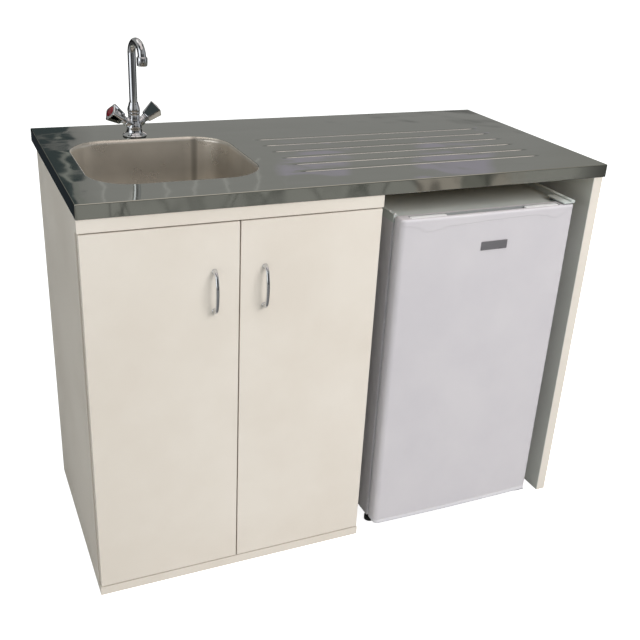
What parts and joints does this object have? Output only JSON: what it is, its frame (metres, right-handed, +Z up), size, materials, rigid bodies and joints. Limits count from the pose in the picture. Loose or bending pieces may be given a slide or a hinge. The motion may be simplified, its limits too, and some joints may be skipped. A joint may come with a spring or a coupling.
{
  "type": "kitchenette unit with sink and fridge",
  "caption": "Kitchenette unit: stainless worktop with sink bowl, swivel-spout mixer tap and drainer, hinged-door cupboard, and a small fridge that slides in an open bay.",
  "frame": {"origin": "on the floor, in the middle of the unit's outline seen from above", "axes": "+X along the worktop to the right seen from the front, +Y to the back, +Z up"},
  "size_m": [1.2, 0.623, 1.1225],
  "materials": {
    "cream_board": "semi-gloss cream laminate on chipboard",
    "core_board": "raw chipboard",
    "stainless": "polished",
    "bowl_steel": "satin",
    "chrome": "polished",
    "zinc_steel": "zinc plated",
    "brass": "machined",
    "rubber": "matte",
    "hot_red": "gloss",
    "cold_blue": "gloss",
    "pipe_plastic": "satin",
    "white_enamel": "semi-gloss white enamel with fine orange peel",
    "foam": "insulating foam, matte",
    "liner_plastic": "gloss",
    "clear_plastic": "clear, gloss",
    "gasket": "soft, matte",
    "black_enamel": "satin black",
    "coated_wire": "white coated wire",
    "badge_metal": "satin"
  },
  "bodies": {
    "unit": {"left_side_panel": "cream_board", "right_side_panel": "cream_board", "base_panel": "cream_board", "back_panel": "cream_board", "top_fascia": "cream_board", "bottom_strip": "cream_board", "bay_rear_rail": "cream_board", "end_panel": "cream_board", "worktop_board": "core_board", "steel_top": "stainless", "worktop_brackets": "zinc_steel", "sink_bowl": "bowl_steel", "waste_strainer": "chrome", "waste_seal": "rubber", "waste_nuts": "pipe_plastic", "p_trap": "pipe_plastic", "waste_pipe": "pipe_plastic", "tap_body": "chrome", "tap_seal": "rubber", "tap_fixing": "zinc_steel", "spout_nut": "chrome", "hinge_arms": "zinc_steel"},
    "basket": {"strainer_basket": "chrome"},
    "spout": {"spout": "chrome", "aerator": "chrome"},
    "hot_valve": {"hot_knob": "chrome", "hot_index": "hot_red", "hot_spindle": "brass"},
    "cold_valve": {"cold_knob": "chrome", "cold_index": "cold_blue", "cold_spindle": "brass"},
    "left_door": {"left_door": "cream_board", "left_handle": "chrome", "left_handle_screws": "zinc_steel", "left_hinge_cups": "zinc_steel"},
    "right_door": {"right_door": "cream_board", "right_handle": "chrome", "right_handle_screws": "zinc_steel", "right_hinge_cups": "zinc_steel"},
    "fridge": {"fridge_shell": "white_enamel", "fridge_foam": "foam", "fridge_liner": "liner_plastic", "fridge_top": "liner_plastic", "fridge_hinges": "zinc_steel", "compressor": "black_enamel", "rear_feet": "rubber", "fridge_shelves": "coated_wire", "crisper_drawer": "clear_plastic", "ice_box": "liner_plastic"},
    "front_foot_left": {"front_foot_left": "rubber"},
    "front_foot_right": {"front_foot_right": "rubber"},
    "thermostat": {"thermostat_knob": "liner_plastic"},
    "ice_flap": {"ice_box_flap": "clear_plastic"},
    "fridge_door": {"fridge_door_skin": "white_enamel", "fridge_door_foam": "foam", "fridge_door_caps": "liner_plastic", "fridge_door_liner": "liner_plastic", "fridge_door_gasket": "gasket", "fridge_door_racks": "clear_plastic", "badge_plate": "badge_metal"}
  },
  "joints": [
    {"name": "left_door_hinge", "type": "hinge", "parent": "unit", "child": "left_door", "pos_m": [-0.589, -0.2787, 0.4325], "axis": [0, 0, -1], "range_deg": [0, 90]},
    {"name": "right_door_hinge", "type": "hinge", "parent": "unit", "child": "right_door", "pos_m": [0.0165, -0.2787, 0.4325], "axis": [0, 0, 1], "range_deg": [0, 90]},
    {"name": "spout_swivel", "type": "hinge", "parent": "unit", "child": "spout", "pos_m": [-0.382, 0.1925, 0.95], "axis": [0, 0, 1], "continuous": true},
    {"name": "hot_valve_turn", "type": "hinge", "parent": "unit", "child": "hot_valve", "pos_m": [-0.382, 0.1925, 0.9215], "axis": [-0.8138, -0.1582, 0.5592], "range_deg": [0, 180]},
    {"name": "cold_valve_turn", "type": "hinge", "parent": "unit", "child": "cold_valve", "pos_m": [-0.382, 0.1925, 0.9215], "axis": [0.8138, 0.1582, 0.5592], "range_deg": [0, 180]},
    {"name": "basket_lift", "type": "slide", "parent": "unit", "child": "basket", "axis": [0, 0, 1], "range_m": [0, 0.12]},
    {"name": "fridge_slide", "type": "slide", "parent": "unit", "child": "fridge", "axis": [0, -1, 0], "range_m": [0, 0.6]},
    {"name": "fridge_door_hinge", "type": "hinge", "parent": "fridge", "child": "fridge_door", "pos_m": [0.499, -0.2895, 0.424], "axis": [0, 0, 1], "range_deg": [0, 115]},
    {"name": "front_foot_left_turn", "type": "hinge", "parent": "fridge", "child": "front_foot_left", "pos_m": [0.084, -0.2415, 0.005], "axis": [0, 0, 1], "continuous": true},
    {"name": "front_foot_right_turn", "type": "hinge", "parent": "fridge", "child": "front_foot_right", "pos_m": [0.492, -0.2415, 0.005], "axis": [0, 0, 1], "continuous": true},
    {"name": "thermostat_turn", "type": "hinge", "parent": "fridge", "child": "thermostat", "pos_m": [0.466, -0.1365, 0.608], "axis": [-1, 0, 0], "range_deg": [0, 270]},
    {"name": "ice_flap_hinge", "type": "hinge", "parent": "fridge", "child": "ice_flap", "pos_m": [0.288, -0.1055, 0.757], "axis": [-1, 0, 0], "range_deg": [0, 85]}
  ]
}
